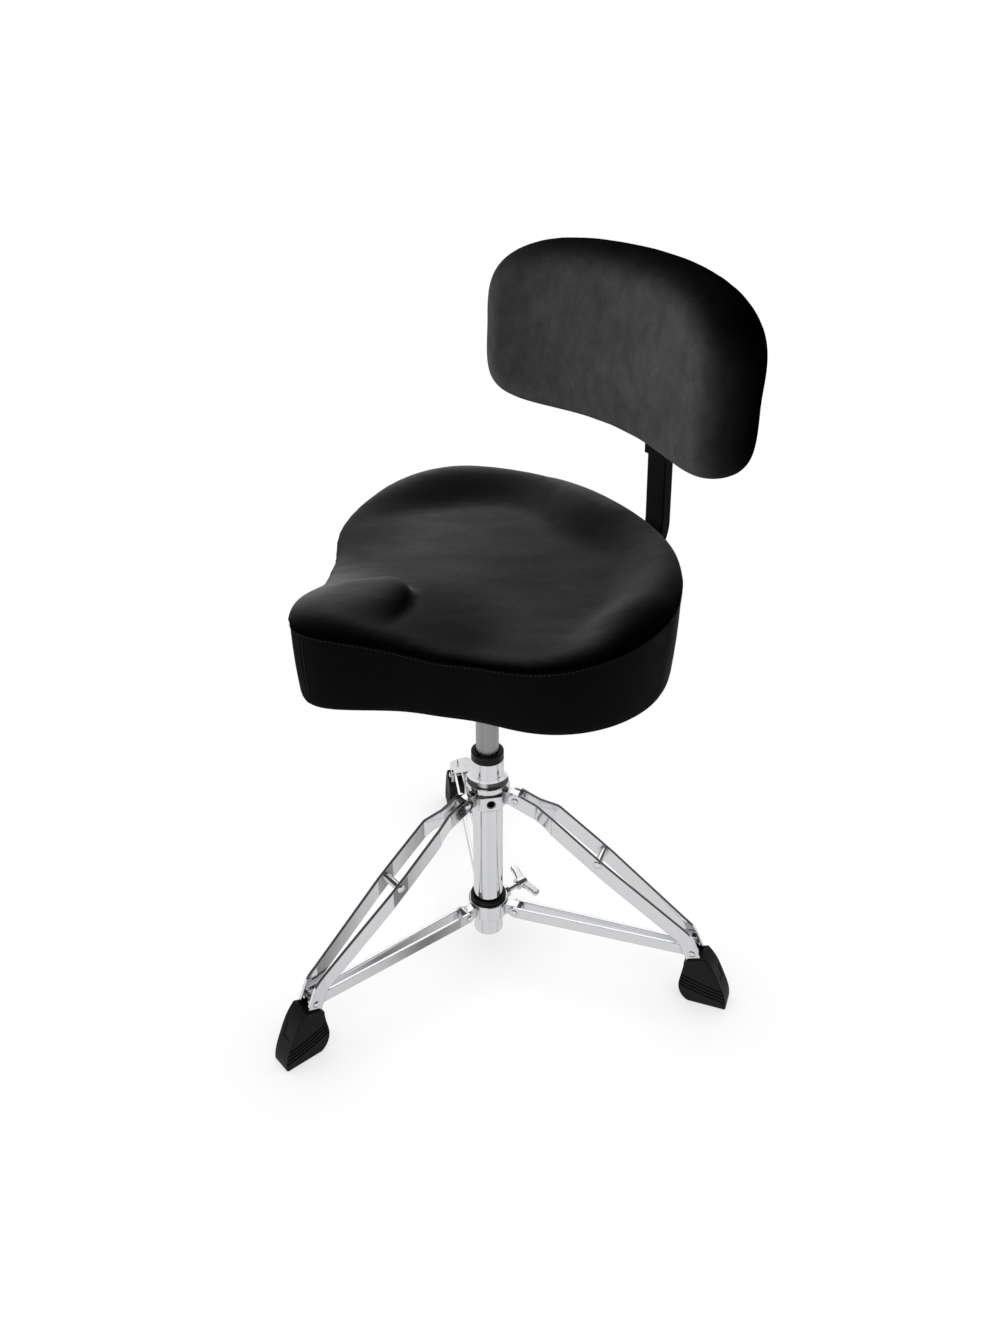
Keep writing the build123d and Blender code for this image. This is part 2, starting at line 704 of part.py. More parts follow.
def plan_band(points, thickness):
    """Plan view of a bent flat strap from the radius and half spacing of its outer face."""
    inner = [(r, half - thickness) for r, half in reversed(points)]
    band = make_face(Polyline(*points, *inner, close=True))
    low_r = points[0][0] + 1
    high_r = points[-1][0] - 1
    corners = band.vertices().filter_by(lambda corner: low_r < corner.X < high_r)
    return extrude(fillet(corners, 14), 320)


def leg_strap(side):
    stations = [
        (25, UPPER_HALF),
        (66, UPPER_HALF),
        (88, 16.0),
        (138, SPACER_HALF),
        (160, SPACER_HALF),
        (258, FOOT_HALF),
        (300, FOOT_HALF),
    ]
    strap = side_slab(leg_outline(), 60) & plan_band(stations, STRAP_THICKNESS)
    strap -= across(rod(PIN_D, -30, 30), *UPPER_PIVOT)
    strap -= across(rod(PIN_D, -30, 30), *FOOT_PIVOT)
    strap -= across(rod(SPACER_RIVET_D, -30, 30), *SPACER)
    return strap if side > 0 else mirror(strap, Plane.XZ)


def leg_spacer():
    inner = SPACER_HALF - STRAP_THICKNESS
    return across(tube(SPACER_OD, SPACER_RIVET_D, -inner, inner), *SPACER)


def leg_rivets():
    """Spacer rivet, foot pivot pin and the two short upper rivets."""
    inner = UPPER_HALF - STRAP_THICKNESS
    short = half_rivet(PIN_D, inner, UPPER_HALF, 8.5, 2.2)
    spacer = across(rivet(SPACER_RIVET_D, SPACER_HALF, 10.5, 2.4), *SPACER)
    foot = across(rivet(PIN_D, FOOT_HALF, 8.5, 2.2), *FOOT_PIVOT)
    upper = across(short, *UPPER_PIVOT)
    return [spacer, foot, upper, mirror(upper, Plane.XZ)]


def foot_outline():
    """Side view of a rubber foot, as radius and height."""
    return make_face(
        [
            Line((270.8, 68.0), (290.0, 75.5)),
            Spline((290.0, 75.5), (303.0, 59.5), (313.0, 38.5), (320.4, 20.0), (323.6, 2.5)),
            ThreePointArc((323.6, 2.5), (322.9, 0.7), (321.0, 0)),
            Line((321.0, 0), (275.0, 0)),
            Spline((275.0, 0), (265.5, 9.0), (261.4, 23.0), (262.8, 38.0), (264.6, 50.0), (265.0, 61.0)),
            Line((265.0, 61.0), (270.8, 68.0)),
        ]
    )


def foot_groove(level):
    """Groove round the sides and outer face of a foot, rising towards the heel."""
    line = ThreePointArc((256, level + 17), (289, level + 5.5), (330, level - 1.5))
    ring = trace(line, GROOVE_WIDTH)
    outer = side_slab(ring, FOOT_WIDTH + 2)
    return outer - side_slab(ring, FOOT_WIDTH - 2 * GROOVE_DEPTH)


def foot_recess():
    """Plain shallow panel sunk into the outer face."""
    window = Pos(305, 0, 0) * box(50, 14, 39, 56)
    return window - side_slab(Pos(-RECESS_DEPTH, 0) * foot_outline(), FOOT_WIDTH + 2)


def leg_foot():
    """Rubber boot moulded round the strap ends."""
    body = side_slab(foot_outline(), FOOT_WIDTH)
    body = fillet(body.edges().filter_by(lambda edge: edge.length > 15), FOOT_ROUND)
    for level in GROOVE_LEVELS:
        body -= foot_groove(level)
    return body - foot_recess() - leg_strap(1) - leg_strap(-1)


def brace_strap(side):
    run = FOOT_PIVOT[0] - LOWER_PIVOT[0]
    climb = FOOT_PIVOT[1] - LOWER_PIVOT[1]
    length = (run * run + climb * climb) ** 0.5
    middle = Pos(LOWER_PIVOT[0] + run / 2, LOWER_PIVOT[1] + climb / 2)
    slot = middle * Rot(0, 0, degrees(atan2(climb, run))) * SlotCenterToCenter(length, BRACE_WIDTH)
    near = [(25, BRACE_INNER_HALF), (54, BRACE_INNER_HALF)]
    stations = near + [(258, BRACE_OUTER_HALF), (290, BRACE_OUTER_HALF)]
    strap = side_slab(slot, 60) & plan_band(stations, BRACE_THICKNESS)
    for pivot in (LOWER_PIVOT, FOOT_PIVOT):
        strap -= across(rod(PIN_D + 2 * RUNNING_GAP, -30, 30), *pivot)
    return strap if side > 0 else mirror(strap, Plane.XZ)


# ---------------------------------------------------------------- assembly


def build():
    """Every node's name with its solids."""
    nodes = {
        "column_tube": column_tube(),
        "base_plate": base_plate(),
        "tube_ferrule": tube_ferrule(),
        "top_collar": top_collar(),
        "collar_set_screw": collar_set_screw(),
        "top_bushing": top_bushing(),
        "upper_pin_cores": upper_pin_cores(),
        "bearing_lower_washer": bearing_lower_washer(),
        "piston_rod": piston_rod(),
        "retaining_clip": retaining_clip(),
        "bearing_balls": bearing_balls(),
        "bearing_upper_washer": bearing_upper_washer(),
        "gas_piston": gas_piston(),
        "gas_cylinder": gas_cylinder(),
        "valve_button": valve_button(),
        "seat_board": seat_board(),
        "seat_cushion": seat_cushion(),
        "seat_side_band": seat_side_band(),
        "seat_mechanism": seat_mechanism(),
        "lever_pin": lever_pin(),
        "release_lever": release_lever(),
        "lever_handle": lever_handle(),
        "mechanism_bolts": mechanism_bolts(),
        "tee_nuts": tee_nuts(),
        "backrest_guide": backrest_guide(),
        "guide_screws": guide_screws(),
        "depth_knob": depth_knob(),
        "backrest_bar": backrest_bar(),
        "bar_end_caps": bar_end_caps(),
        "backrest_bracket": on_bar(backrest_bracket()),
        "height_knob": on_bar(height_knob()),
        "pad_board": on_bar(pad_board()),
        "pad_cushion": on_bar(pad_cushion()),
        "pad_screws": pad_screws(),
        "lower_collar": lower_collar(),
        "collar_bushing": collar_bushing(),
        "lower_pivot_pins": lower_pivot_pins(),
        "wing_bolt": wing_bolt(),
    }
    spacer = leg_spacer()
    rivets = leg_rivets()
    foot = leg_foot()
    straps = {"a": leg_strap(1), "b": leg_strap(-1)}
    braces = {"a": brace_strap(1), "b": brace_strap(-1)}
    for name, angle in LEG_ANGLES.items():
        turn = Rot(0, 0, angle)
        nodes[f"leg_{name}_spacer"] = turn * spacer
        nodes[f"leg_{name}_rivets"] = [turn * rivet_solid for rivet_solid in rivets]
        nodes[f"leg_{name}_foot"] = turn * foot
        for side in ("a", "b"):
            nodes[f"leg_{name}_strap_{side}"] = turn * straps[side]
            nodes[f"brace_{name}_strap_{side}"] = turn * braces[side]
    return nodes


def save(name, shapes):
    """Move a node to its place in the footprint and write it."""
    group = shapes if isinstance(shapes, list) else [shapes]
    solids = [solid for shape in group for solid in shape.solids()]
    placed = [Pos(COLUMN_X, COLUMN_Y, 0) * solid for solid in solids]
    export_step(Compound(children=placed) if len(placed) > 1 else placed[0], f"parts/{name}.step")


for node_name, node_shapes in build().items():
    save(node_name, node_shapes)
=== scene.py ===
"""Looks of the drum throne: velour seat and pad, vinyl seat side, chromed folding base."""

import json
import math

import bmesh
import bpy
import numpy as np
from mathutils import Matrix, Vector


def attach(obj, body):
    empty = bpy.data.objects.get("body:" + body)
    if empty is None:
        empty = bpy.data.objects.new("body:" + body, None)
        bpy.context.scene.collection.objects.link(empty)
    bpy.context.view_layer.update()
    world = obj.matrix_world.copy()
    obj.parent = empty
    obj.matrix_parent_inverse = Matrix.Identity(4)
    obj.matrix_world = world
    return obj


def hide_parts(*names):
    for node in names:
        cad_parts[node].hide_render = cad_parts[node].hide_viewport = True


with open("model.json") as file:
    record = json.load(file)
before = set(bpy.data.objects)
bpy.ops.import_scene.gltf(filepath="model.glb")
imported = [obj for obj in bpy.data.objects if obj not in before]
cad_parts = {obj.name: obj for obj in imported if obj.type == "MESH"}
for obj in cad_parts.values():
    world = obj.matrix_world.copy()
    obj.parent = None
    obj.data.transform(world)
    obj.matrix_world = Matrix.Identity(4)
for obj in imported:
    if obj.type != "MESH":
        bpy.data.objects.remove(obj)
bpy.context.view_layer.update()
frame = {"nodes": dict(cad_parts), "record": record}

MM = 0.001
COLUMN = np.array([11.1, 18.1, 0.0])


# ---------------------------------------------------------------- helpers


def rows(points):
    """Millimetres about the column's axis to metres in the row frame."""
    return (np.asarray(points, float) + COLUMN) * MM


def periodic_spline(value_at, query):
    """Smooth closed curve through values at degrees 0 to 180, mirrored, at the query angles in radians."""
    half = np.radians(list(value_at))
    values = np.array(list(value_at.values()), float)
    x = np.concatenate([half, 2 * np.pi - half[-2:0:-1]])
    y = np.concatenate([values, values[-2:0:-1]])
    n = len(x)
    step = np.diff(np.append(x, 2 * np.pi))
    system = np.zeros((n, n))
    right = np.zeros(n)
    for i in range(n):
        before = step[i - 1]
        after = step[i]
        system[i, i - 1] = before
        system[i, i] = 2 * (before + after)
        system[i, (i + 1) % n] = after
        right[i] = 6 * ((y[(i + 1) % n] - y[i]) / after - (y[i] - y[i - 1]) / before)
    second = np.linalg.solve(system, right)
    q = np.mod(query, 2 * np.pi)
    k = np.clip(np.searchsorted(x, q, side="right") - 1, 0, n - 1)
    j = (k + 1) % n
    h = step[k]
    a = (x[k] + h - q) / h
    b = (q - x[k]) / h
    return a * y[k] + b * y[j] + ((a**3 - a) * second[k] + (b**3 - b) * second[j]) * h * h / 6


def smooth(value):
    """Ease from 0 to 1."""
    t = np.clip(value, 0, 1)
    return t * t * (3 - 2 * t)


def mesh_object(name, verts, faces, material, shade=True):
    """New object in the scene from points and faces, with one material."""
    mesh = bpy.data.meshes.new(name)
    mesh.from_pydata([tuple(v) for v in verts], [], [tuple(int(i) for i in f) for f in faces])
    mesh.validate()
    mesh.update()
    obj = bpy.data.objects.new(name, mesh)
    bpy.context.scene.collection.objects.link(obj)
    mesh.materials.append(material)
    if shade:
        mesh.polygons.foreach_set("use_smooth", [True] * len(mesh.polygons))
    return obj


def grid_faces(rings, around, closed_rings=False):
    """Quads between neighbouring rings, and from the last ring to the first if asked."""
    faces = []
    last = rings if closed_rings else rings - 1
    for i in range(last):
        low = i * around
        high = ((i + 1) % rings) * around
        for j in range(around):
            k = (j + 1) % around
            faces.append((low + j, low + k, high + k, high + j))
    return faces


# ---------------------------------------------------------------- materials


def new_material(name):
    """Material with its nodes, its links and its main shader."""
    mat = bpy.data.materials.new(name)
    mat.use_nodes = True
    nodes = mat.node_tree.nodes
    bsdf = nodes["Principled BSDF"]
    return mat, nodes, mat.node_tree.links, bsdf


def grey(level):
    """Colour with three equal parts."""
    return (level, level, level)


def math_node(nodes, links, operation, first, second, third=None):
    """One calculation on node outputs and plain numbers."""
    node = nodes.new("ShaderNodeMath")
    node.operation = operation
    for socket, value in zip(node.inputs, (first, second, third)):
        if isinstance(value, float):
            socket.default_value = value
        elif value is not None:
            links.new(value, socket)
    return node


def product(nodes, links, first, second):
    """One node output multiplied by another, or by a plain number."""
    return math_node(nodes, links, "MULTIPLY", first, second).outputs["Value"]


def map_range(nodes, links, value, source, target, interpolation="LINEAR"):
    """Carry a value from one range to another, stopping at its ends."""
    node = nodes.new("ShaderNodeMapRange")
    node.interpolation_type = interpolation
    node.inputs["From Min"].default_value = source[0]
    node.inputs["From Max"].default_value = source[1]
    node.inputs["To Min"].default_value = target[0]
    node.inputs["To Max"].default_value = target[1]
    links.new(value, node.inputs["Value"])
    return node.outputs["Result"]


def spread(nodes, links, value, low, high):
    """Map a texture's middle range to low..high."""
    return map_range(nodes, links, value, (0.3, 0.7), (low, high))


def coordinates(nodes, links, scale=(1, 1, 1)):
    """Object coordinates, stretched by the scale."""
    coord = nodes.new("ShaderNodeTexCoord")
    mapping = nodes.new("ShaderNodeMapping")
    mapping.inputs["Scale"].default_value = scale
    links.new(coord.outputs["Object"], mapping.inputs["Vector"])
    return mapping.outputs["Vector"]


def noise(nodes, links, vector, scale, detail=4.0, rough=0.55):
    """Cloudy texture round one half."""
    tex = nodes.new("ShaderNodeTexNoise")
    tex.inputs["Scale"].default_value = scale
    tex.inputs["Detail"].default_value = detail
    tex.inputs["Roughness"].default_value = rough
    links.new(vector, tex.inputs["Vector"])
    return tex.outputs["Fac"]


def two_tone(nodes, links, value, dark, light):
    """Colour between dark and light by the value."""
    ramp = nodes.new("ShaderNodeMix")
    ramp.data_type = "RGBA"
    ramp.inputs["A"].default_value = (*dark, 1)
    ramp.inputs["B"].default_value = (*light, 1)
    links.new(value, ramp.inputs["Factor"])
    return ramp.outputs["Result"]


def bump(nodes, links, height, distance, strength, normal=None):
    """Normal roughened by a height, on top of another normal if given."""
    node = nodes.new("ShaderNodeBump")
    node.inputs["Strength"].default_value = strength
    node.inputs["Distance"].default_value = distance
    links.new(height, node.inputs["Height"])
    if normal:
        links.new(normal, node.inputs["Normal"])
    return node.outputs["Normal"]


def rounded_edges(nodes, radius):
    """Normal that turns smoothly over edges within the radius."""
    node = nodes.new("ShaderNodeBevel")
    node.samples = 6
    node.inputs["Radius"].default_value = radius
    return node.outputs["Normal"]


def painted_crevice_shade(nodes, links, distance, darkest):
    """Painted shade: grey that falls from 1 to the darkest value where surfaces stand close together."""
    near = nodes.new("ShaderNodeAmbientOcclusion")
    near.samples = 6
    near.inputs["Distance"].default_value = distance
    return map_range(nodes, links, near.outputs["AO"], (0.25, 0.85), (darkest, 1.0))


def painted_edge_shade(nodes, links, rounded, darkest):
    """Painted shade: grey that falls to the darkest value where the rounded normal leaves the flat one, at
    sharp edges.
    """
    geometry = nodes.new("ShaderNodeNewGeometry")
    turn = nodes.new("ShaderNodeVectorMath")
    turn.operation = "DOT_PRODUCT"
    links.new(rounded, turn.inputs[0])
    links.new(geometry.outputs["Normal"], turn.inputs[1])
    return map_range(nodes, links, turn.outputs["Value"], (0.80, 0.995), (darkest, 1.0))


def make_chrome():
    """Mirror plating, with painted crevice shade and painted shade along sharp edges."""
    mat, nodes, links, bsdf = new_material("chrome plate")
    vector = coordinates(nodes, links)
    cloud = noise(nodes, links, vector, 35, 3)
    fine = noise(nodes, links, vector, 420, 3)
    edges = rounded_edges(nodes, 0.0011)
    # Painted shade: the plate colour darkens to near black in crevices and along sharp edges.
    close = painted_crevice_shade(nodes, links, 0.009, 0.10)
    shade = product(nodes, links, close, painted_edge_shade(nodes, links, edges, 0.22))
    plate = two_tone(nodes, links, cloud, (0.84, 0.85, 0.87), (0.93, 0.93, 0.94))
    shaded_plate = nodes.new("ShaderNodeMix")
    shaded_plate.data_type = "RGBA"
    shaded_plate.inputs["A"].default_value = (0.02, 0.02, 0.02, 1)
    links.new(plate, shaded_plate.inputs["B"])
    links.new(shade, shaded_plate.inputs["Factor"])
    links.new(shaded_plate.outputs["Result"], bsdf.inputs["Base Color"])
    bsdf.inputs["Metallic"].default_value = 1.0
    links.new(spread(nodes, links, fine, 0.045, 0.085), bsdf.inputs["Roughness"])
    links.new(bump(nodes, links, cloud, 0.0004, 0.12, edges), bsdf.inputs["Normal"])
    return mat


def make_brushed(name, low, high, roughness, stretch=(1, 1, 60)):
    """Ground or plated steel with fine lines across its length."""
    mat, nodes, links, bsdf = new_material(name)
    vector = coordinates(nodes, links, stretch)
    lines = noise(nodes, links, vector, 40, 5)
    links.new(two_tone(nodes, links, lines, low, high), bsdf.inputs["Base Color"])
    bsdf.inputs["Metallic"].default_value = 1.0
    links.new(spread(nodes, links, lines, roughness - 0.06, roughness + 0.08), bsdf.inputs["Roughness"])
    edges = rounded_edges(nodes, 0.0005)
    links.new(bump(nodes, links, lines, 0.0001, 0.25, edges), bsdf.inputs["Normal"])
    return mat


def make_dull(name, dark, light, roughness, grain_scale, grain, edge=0.0006, gloss=0.15):
    """Painted or moulded black surface with a fine grain."""
    mat, nodes, links, bsdf = new_material(name)
    vector = coordinates(nodes, links)
    cloud = noise(nodes, links, vector, 22, 4)
    fine = noise(nodes, links, vector, grain_scale, 4, 0.6)
    links.new(two_tone(nodes, links, cloud, dark, light), bsdf.inputs["Base Color"])
    links.new(spread(nodes, links, cloud, roughness - 0.05, roughness + 0.06), bsdf.inputs["Roughness"])
    bsdf.inputs["Specular IOR Level"].default_value = gloss
    edges = rounded_edges(nodes, edge)
    links.new(bump(nodes, links, fine, 0.0003, grain, edges), bsdf.inputs["Normal"])
    return mat


def make_vinyl():
    """Satin black upholstery vinyl with a leather-like grain."""
    mat, nodes, links, bsdf = new_material("black vinyl")
    vector = coordinates(nodes, links)
    cells = nodes.new("ShaderNodeTexVoronoi")
    cells.inputs["Scale"].default_value = 900
    links.new(vector, cells.inputs["Vector"])
    cloud = noise(nodes, links, vector, 14, 4)
    soft = noise(nodes, links, vector, 60, 3)
    colour = two_tone(nodes, links, cloud, grey(0.0008), grey(0.0015))
    links.new(colour, bsdf.inputs["Base Color"])
    links.new(spread(nodes, links, soft, 0.40, 0.52), bsdf.inputs["Roughness"])
    facing = nodes.new("ShaderNodeLayerWeight")
    facing.inputs["Blend"].default_value = 0.5
    shine = spread(nodes, links, facing.outputs["Facing"], 0.042, 0.006)
    links.new(shine, bsdf.inputs["Specular IOR Level"])
    large = bump(nodes, links, soft, 0.0010, 0.10)
    links.new(bump(nodes, links, cells.outputs["Distance"], 0.0002, 0.25, large), bsdf.inputs["Normal"])
    return mat


def painted_facing_shade(nodes, links, bright, power):
    """Painted light and shade: grey that is light on a surface facing the bright direction and dark facing
    away.
    """
    coord = nodes.new("ShaderNodeTexCoord")
    turn = nodes.new("ShaderNodeVectorMath")
    turn.operation = "DOT_PRODUCT"
    turn.inputs[1].default_value = Vector(bright).normalized()
    links.new(coord.outputs["Normal"], turn.inputs[0])
    half = math_node(nodes, links, "MULTIPLY_ADD", turn.outputs["Value"], 0.5, 0.5)
    half.use_clamp = True
    return math_node(nodes, links, "POWER", half.outputs["Value"], power).outputs["Value"]


def turned_coordinates(nodes, links, degrees, scale):
    """Coordinates turned about the upright axis, then stretched."""
    coord = nodes.new("ShaderNodeTexCoord")
    turn = nodes.new("ShaderNodeMapping")
    turn.inputs["Rotation"].default_value = (0, 0, math.radians(degrees))
    links.new(coord.outputs["Object"], turn.inputs["Vector"])
    stretch = nodes.new("ShaderNodeMapping")
    stretch.inputs["Scale"].default_value = scale
    links.new(turn.outputs["Vector"], stretch.inputs["Vector"])
    return stretch.outputs["Vector"]


def painted_shade_patch(nodes, links, place, radius, inside):
    """Factor that goes from inside's value at a place to 1 at the radius."""
    coord = nodes.new("ShaderNodeTexCoord")
    gap = nodes.new("ShaderNodeVectorMath")
    gap.operation = "DISTANCE"
    gap.inputs[1].default_value = place
    links.new(coord.outputs["Object"], gap.inputs[0])
    fade = (radius * 0.25, radius)
    return map_range(nodes, links, gap.outputs["Value"], fade, (inside, 1.0), "SMOOTHSTEP")


def make_velour(name, bright, power, level, degrees, stretch, mottle, patches):
    """Short-pile microfibre: charcoal, brushed strokes and blotches in the pile, painted shade patches, a
    little sheen at grazing angles.

    The colour is painted lightest on surfaces that face the bright direction, up to the grey level, and
    darker facing away, as painted light and shade; a higher power darkens the rest faster. Strokes lie at
    the given degrees, and the patches are painted shade that darkens the colour.
    """
    mat, nodes, links, bsdf = new_material(name)
    vector = coordinates(nodes, links)
    stretched = turned_coordinates(nodes, links, degrees, stretch)
    broad = noise(nodes, links, stretched, 14, 5, 0.62)
    strokes = noise(nodes, links, stretched, 75, 5, 0.6)
    blotch = noise(nodes, links, vector, 42, 5, 0.66)
    grain = noise(nodes, links, vector, 520, 3, 0.7)
    pile = noise(nodes, links, vector, 1300, 3, 0.7)
    # Painted light and shade: the colour is lighter on faces toward the bright direction and darker facing
    # away.
    tone = painted_facing_shade(nodes, links, bright, power)
    for texture, swing in ((broad, 0.20), (strokes, 0.10), (blotch, mottle)):
        tone = product(nodes, links, tone, spread(nodes, links, texture, 1.0 - swing, 1.0 + swing))
    # Painted shade: each patch darkens the colour round its middle.
    for place, radius, inside in patches:
        tone = product(nodes, links, tone, painted_shade_patch(nodes, links, place, radius, inside))
    shown = tone
    for texture, swing in ((grain, 0.12), (pile, 0.14)):
        shown = product(nodes, links, shown, spread(nodes, links, texture, 1.0 - swing, 1.0 + swing))
    links.new(two_tone(nodes, links, shown, grey(0.0010), grey(level)), bsdf.inputs["Base Color"])
    bsdf.inputs["Roughness"].default_value = 0.95
    bsdf.inputs["Specular IOR Level"].default_value = 0.0
    # The sheen weight follows the painted light and shade as well.
    links.new(product(nodes, links, tone, 0.06), bsdf.inputs["Sheen Weight"])
    bsdf.inputs["Sheen Roughness"].default_value = 0.40
    soft = bump(nodes, links, strokes, 0.0010, 0.12)
    links.new(bump(nodes, links, pile, 0.0003, 0.35, soft), bsdf.inputs["Normal"])
    return mat


def make_plywood():
    """Black stained board with a faint grain."""
    mat, nodes, links, bsdf = new_material("black stained plywood")
    vector = coordinates(nodes, links, (3, 18, 120))
    grain = noise(nodes, links, vector, 7, 6)
    streaks = spread(nodes, links, grain, 0, 1)
    colour = two_tone(nodes, links, streaks, (0.006, 0.005, 0.0045), (0.016, 0.013, 0.011))
    links.new(colour, bsdf.inputs["Base Color"])
    bsdf.inputs["Roughness"].default_value = 0.7
    links.new(bump(nodes, links, grain, 0.0004, 0.3), bsdf.inputs["Normal"])
    return mat


CHROME = make_chrome()
SATIN = make_brushed("satin ground steel", grey(0.30), grey(0.46), 0.34)
ZINC = make_brushed("zinc plated steel", (0.45, 0.45, 0.44), (0.62, 0.62, 0.60), 0.38, (1, 1, 1))
COAT = make_dull("black powder coat", grey(0.0016), grey(0.0030), 0.46, 1400, 0.35, gloss=0.07)
NYLON = make_dull("black nylon", grey(0.008), (0.014, 0.014, 0.0145), 0.36, 500, 0.15)
RUBBER = make_dull("black rubber", grey(0.006), grey(0.012), 0.52, 700, 0.30, 0.0010, 0.12)
VINYL = make_vinyl()

# Middles of the patches of painted shade, where the seat's velour colour is darkened
THIGH_SHADE = tuple(rows([78.0, -108.0, 560.0]))
FAR_LOBE_SHADE = tuple(rows([-168.0, -58.0, 556.0]))
FAR_BOWL_SHADE = tuple(rows([-100.0, -20.0, 562.0]))
NEAR_CORNER_SHADE = tuple(rows([225.0, 30.0, 575.0]))

# The seat's velour is painted lighter on faces toward the bright direction and darker in the shade patches,
# as painted light and shade.
VELOUR = make_velour(
    "charcoal velour seat",
    bright=(-0.70, 0.40, 0.60),
    power=3.5,
    level=0.15,
    degrees=-54,
    stretch=(0.28, 1.0, 1.0),
    mottle=0.06,
    patches=[
        (THIGH_SHADE, 0.095, 0.42),
        (FAR_LOBE_SHADE, 0.090, 0.62),
        (FAR_BOWL_SHADE, 0.120, 0.82),
        (NEAR_CORNER_SHADE, 0.060, 0.35),
    ],
)
# The pad's velour is painted lighter on faces toward its bright direction and darker facing away, as painted
# light and shade.
PAD_VELOUR = make_velour(
    "charcoal velour pad",
    bright=(-0.50, -0.74, -0.45),
    power=3.0,
    level=0.083,
    degrees=0,
    stretch=(1.0, 1.0, 0.55),
    mottle=0.16,
    patches=[],
)
PLYWOOD = make_plywood()
THREAD = make_dull("black thread", grey(0.012), grey(0.03), 0.7, 3000, 0.5, 0.0001)

SLOT_MATERIALS = {
    "chrome": CHROME,
    "zinc": ZINC,
    "satin_steel": SATIN,
    "black_coat": COAT,
    "nylon": NYLON,
    "rubber": RUBBER,
    "velour": VELOUR,
    "vinyl": VINYL,
    "plywood": PLYWOOD,
}
for part in frame["record"]["subparts"]:
    node = frame["nodes"][part["node"]]
    node.data.materials.clear()
    node.data.materials.append(SLOT_MATERIALS[part["material_slot"]])


# ---------------------------------------------------------------- seat shape

# Millimetres by degrees round the seat from the nose, the same on both sides: the outline's radius about a
# point ahead of the column, the seam's height, the rim's rise above the seam and the width of its roll
SEAT_AHEAD = 16.0
RADIUS_AT = {
    0: 222,
    14: 194,
    28: 168,
    42: 164,
    56: 171,
    72: 201,
    90: 227,
    110: 236,
    130: 227,
    150: 213,
    180: 194,
}
SEAM_AT = {0: 564, 30: 547, 55: 543.5, 80: 553, 110: 571, 145: 578, 180: 587}
CROWN_AT = {0: 20, 14: 15, 30: 11, 60: 9, 82: 12, 97: 19, 112: 24, 145: 22, 180: 21}
ROLL_AT = {0: 28, 14: 17, 30: 12, 60: 8, 82: 10, 97: 22, 112: 26, 145: 20, 180: 32}
BOTTOM = 468.0
COVER_LOW = 483.0
COVER_HELD = 535.0

# Bowl: its height, its climb to the rear and its drop under the thighs; then the raised nose ahead of it
BOWL_HEIGHT = 565.0
REAR_RISE = 12
THIGH_DROP = 7
NOSE_START = 92.0
NOSE_RISE = 25.0
NOSE_HALF_WIDTH = 22.0
NOSE_SPREAD = 0.64
ROUNDING = 2.4

# Proud lip of the top cover over the side cover: outward, and above the seam
LIP = (
    (1.6, 5.0),
    (2.6, 3.2),
    (2.7, 1.6),
    (1.6, -0.3),
    (-0.6, -1.6),
    (-5.0, -4.5),
    (-9.0, -12.0),
    (-9.0, -26.0),
)

# Side cover: how far the wall leans in, its outward belly, and the roll under the board
WALL_LEAN = 5.2
WALL_BELLY = 1.4
UNDER_ROLL = 13.0

# Cloth covers, in metres: size of the even mesh, and the furthest a point may swell
SEAT_VOXEL = 0.0042
SEAT_SWELL = 0.0015
PAD_VOXEL = 0.0045
PAD_SWELL = 0.0016
CLOTH_PRESSURE = 3.0
CLOTH_FRAMES = 20


def seat_radius(angle):
    """Radius of the outline at angles round the seat."""
    return periodic_spline(RADIUS_AT, angle)


def seat_seam(angle):
    """Height of the seam between top and side at angles round the seat."""
    return periodic_spline(SEAM_AT, angle)


def seat_outline(angle, inset=0.0):
    """Points of the outline, forward and sideways from the outline's own middle, drawn in by inset."""
    eps = 1e-3
    r = seat_radius(angle)
    slope = (seat_radius(angle + eps) - seat_radius(angle - eps)) / (2 * eps)
    forward = r * np.cos(angle)
    side = r * np.sin(angle)
    along_forward = slope * np.cos(angle) - r * np.sin(angle)
    along_side = slope * np.sin(angle) + r * np.cos(angle)
    tangent = np.stack([along_forward, along_side], -1)
    length = np.linalg.norm(tangent, axis=-1, keepdims=True)
    normal = np.stack([tangent[:, 1], -tangent[:, 0]], -1) / length
    return np.stack([forward, side], -1) - normal * np.reshape(inset, (-1, 1))


def seat_point(forward, side, height):
    """Millimetres about the column from forward and sideways of the outline's middle."""
    return np.stack([side, -(forward + SEAT_AHEAD), height], -1)


def outline_ring(angle, inset, height):
    """Points of the outline at the given heights, in millimetres about the column."""
    points = seat_outline(angle, inset)
    return seat_point(points[:, 0], points[:, 1], height)


def nose_height(ahead, side):
    """Rise of the nose above the bowl: a dome that widens forward, with a faint ridge along each foot."""
    start = np.sqrt(smooth((ahead - NOSE_START) / 26))
    foot = (NOSE_HALF_WIDTH + NOSE_SPREAD * np.clip(ahead - 109, -10, 200)) * start + 1e-6
    dome = np.sqrt(np.clip(1 - (np.abs(side) / foot) ** ROUNDING, 0, 1))
    hump = NOSE_RISE * dome * smooth((ahead - NOSE_START) / 22)
    ridge = 2.2 * np.exp(-(((np.abs(side) - foot - 11) / 8) ** 2))
    return hump + ridge * smooth((ahead - 106) / 24)


